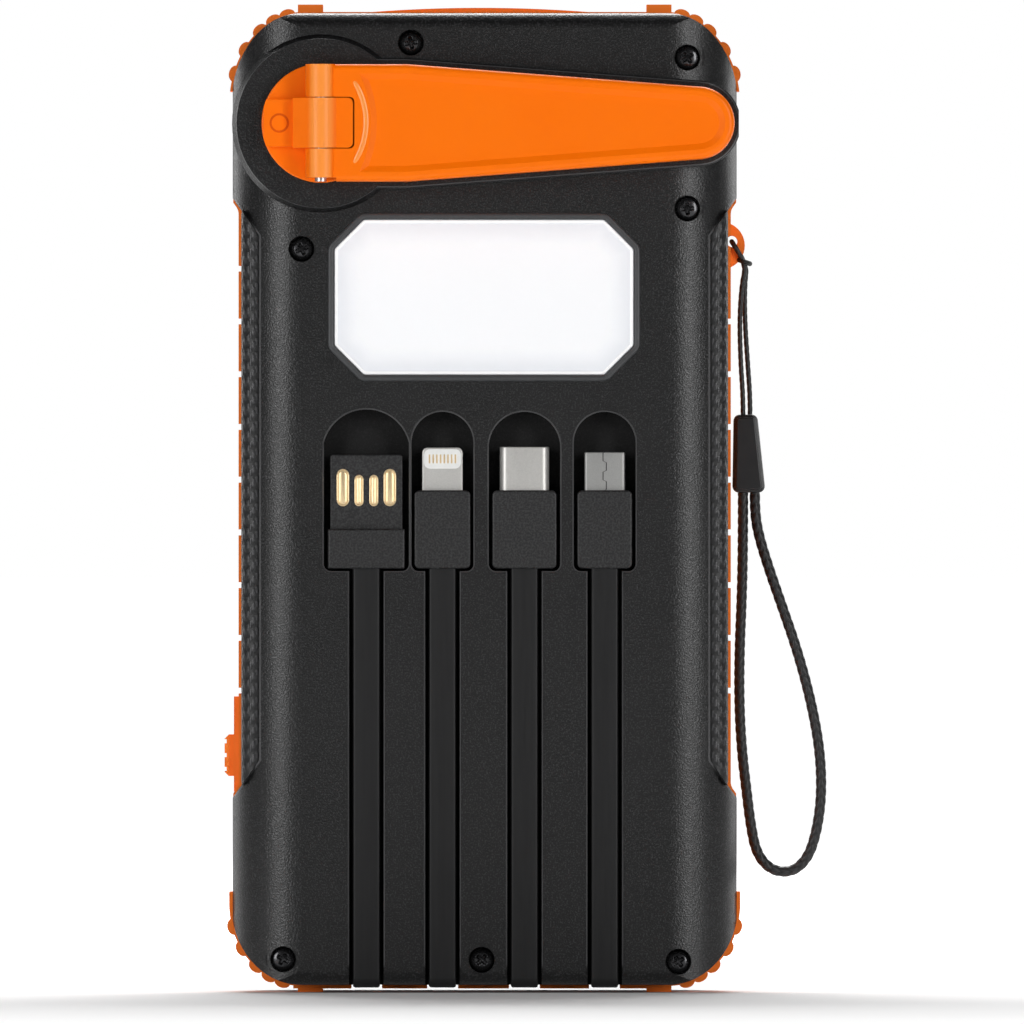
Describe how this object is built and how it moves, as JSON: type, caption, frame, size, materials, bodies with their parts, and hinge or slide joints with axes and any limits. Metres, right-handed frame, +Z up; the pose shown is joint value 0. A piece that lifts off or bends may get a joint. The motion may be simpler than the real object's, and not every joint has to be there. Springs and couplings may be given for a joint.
{
  "type": "hand crank phone charger",
  "caption": "Rugged power bank with a folding hand crank, lamp, built-in charging leads in grooves, solar panel, rubber bumper and wrist strap.",
  "frame": {"origin": "bottom centre of the charger without its strap: the middle of its width and depth, at the plane of the bottom nubs", "axes": "+Z up along the case, -Y out of the crank and lamp side, +Y out of the solar side, +X to the right seen from the crank side"},
  "size_m": [0.1016, 0.038, 0.1665],
  "materials": {
    "black_shell": "fine spark texture",
    "bumper_orange": "smooth soft rubber",
    "crank_orange": "satin moulded plastic",
    "grip_twill": "woven twill relief",
    "screw_black": "black oxide",
    "solar_cell": "clear sealed cells",
    "clear_pipe": "clear moulding",
    "lamp_frame": "smooth moulded plastic",
    "lamp_white": "frosted diffuser",
    "steel": "ground",
    "brass_bush": "turned",
    "gear_nylon": "moulded nylon",
    "plate_plastic": "moulded plastic",
    "motor_can": "zinc plated",
    "cell_wrap": "laminated pouch",
    "circuit_board": "solder mask",
    "plug_nickel": "nickel plated",
    "contact_gold": "gold plated",
    "lead_rubber": "matt moulded rubber",
    "strap_cord": "braided cord",
    "strap_crimp": "smooth moulded plastic"
  },
  "bodies": {
    "case": {"crank_cover": "black_shell", "panel_cover": "black_shell", "bumper_band": "bumper_orange", "crank_grip_left": "grip_twill", "crank_grip_right": "grip_twill", "panel_grip_left": "grip_twill", "panel_grip_right": "grip_twill", "cover_screws": "screw_black", "solar_panel": "solar_cell", "charge_lights": "clear_pipe", "lamp_bezel": "lamp_frame", "lamp_diffuser": "lamp_white", "lamp_board": "circuit_board", "crank_bush": "brass_bush", "lay_axle": "steel", "gear_plate": "plate_plastic", "generator_can": "motor_can", "generator_stator": "motor_can", "battery_cell_1": "cell_wrap", "battery_cell_2": "cell_wrap", "main_board": "circuit_board", "port_a": "plug_nickel", "port_c": "plug_nickel", "button_switch": "circuit_board", "strap_hitch": "strap_cord", "strap_sleeve": "strap_crimp", "strap_loop": "strap_cord"},
    "crank": {"crank_hub": "crank_orange", "fold_pin": "steel", "crank_shaft": "steel", "drive_gear": "gear_nylon"},
    "arm": {"crank_arm": "crank_orange", "knob_pin": "steel"},
    "knob": {"crank_knob": "crank_orange"},
    "lay_gear": {"lay_gear": "gear_nylon"},
    "rotor": {"generator_rotor": "gear_nylon"},
    "port_flap": {"port_cover": "bumper_orange"},
    "button": {"power_button": "bumper_orange"},
    "lead_1": {"lead_1_cable": "lead_rubber", "lead_1_grip": "lead_rubber", "lead_1_tip": "lead_rubber", "lead_1_contacts": "contact_gold"},
    "lead_2": {"lead_2_cable": "lead_rubber", "lead_2_grip": "lead_rubber", "lead_2_tip": "plug_nickel"},
    "lead_3": {"lead_3_cable": "lead_rubber", "lead_3_grip": "lead_rubber", "lead_3_tip": "plug_nickel"},
    "lead_4": {"lead_4_cable": "lead_rubber", "lead_4_grip": "lead_rubber", "lead_4_tip": "plug_nickel"}
  },
  "joints": [
    {"name": "crank_spin", "type": "hinge", "parent": "case", "child": "crank", "pos_m": [-0.0275, -0.01325, 0.1463], "axis": [0, 1, 0], "continuous": true},
    {"name": "arm_fold", "type": "hinge", "parent": "crank", "child": "arm", "pos_m": [-0.0275, -0.01635, 0.1463], "axis": [0, 0, -1], "range_deg": [0, 180]},
    {"name": "knob_flip", "type": "hinge", "parent": "arm", "child": "knob", "pos_m": [0.0352, -0.01415, 0.1463], "axis": [0, 0, -1], "range_deg": [0, 90]},
    {"name": "lay_spin", "type": "hinge", "parent": "case", "child": "lay_gear", "pos_m": [-0.01689, -0.00395, 0.13569], "axis": [0, 1, 0], "continuous": true},
    {"name": "rotor_spin", "type": "hinge", "parent": "case", "child": "rotor", "pos_m": [-0.00397, 0.00255, 0.13099], "axis": [0, 1, 0], "continuous": true},
    {"name": "flap_open", "type": "hinge", "parent": "case", "child": "port_flap", "pos_m": [-0.01935, 0.00445, 0.1646], "axis": [0, -1, 0], "range_deg": [0, 90]},
    {"name": "button_press", "type": "slide", "parent": "case", "child": "button", "axis": [1, 0, 0], "range_m": [0, 0.0007], "stiffness_N_per_m": 1000, "springref_m": -0.0006},
    {"name": "lead_1_swing", "type": "hinge", "parent": "case", "child": "lead_1", "pos_m": [-0.0199, -0.00795, 0.0026], "axis": [1, 0, 0], "range_deg": [0, 90]},
    {"name": "lead_2_swing", "type": "hinge", "parent": "case", "child": "lead_2", "pos_m": [-0.0071, -0.00795, 0.0026], "axis": [1, 0, 0], "range_deg": [0, 90]},
    {"name": "lead_3_swing", "type": "hinge", "parent": "case", "child": "lead_3", "pos_m": [0.0067, -0.00795, 0.0026], "axis": [1, 0, 0], "range_deg": [0, 90]},
    {"name": "lead_4_swing", "type": "hinge", "parent": "case", "child": "lead_4", "pos_m": [0.0202, -0.00795, 0.0026], "axis": [1, 0, 0], "range_deg": [0, 90]}
  ],
  "couplings": [
    {"joint": "knob_flip", "follows": "arm_fold", "ratio": 0.5},
    {"joint": "lay_spin", "follows": "crank_spin", "ratio": -4},
    {"joint": "rotor_spin", "follows": "crank_spin", "ratio": 16}
  ]
}
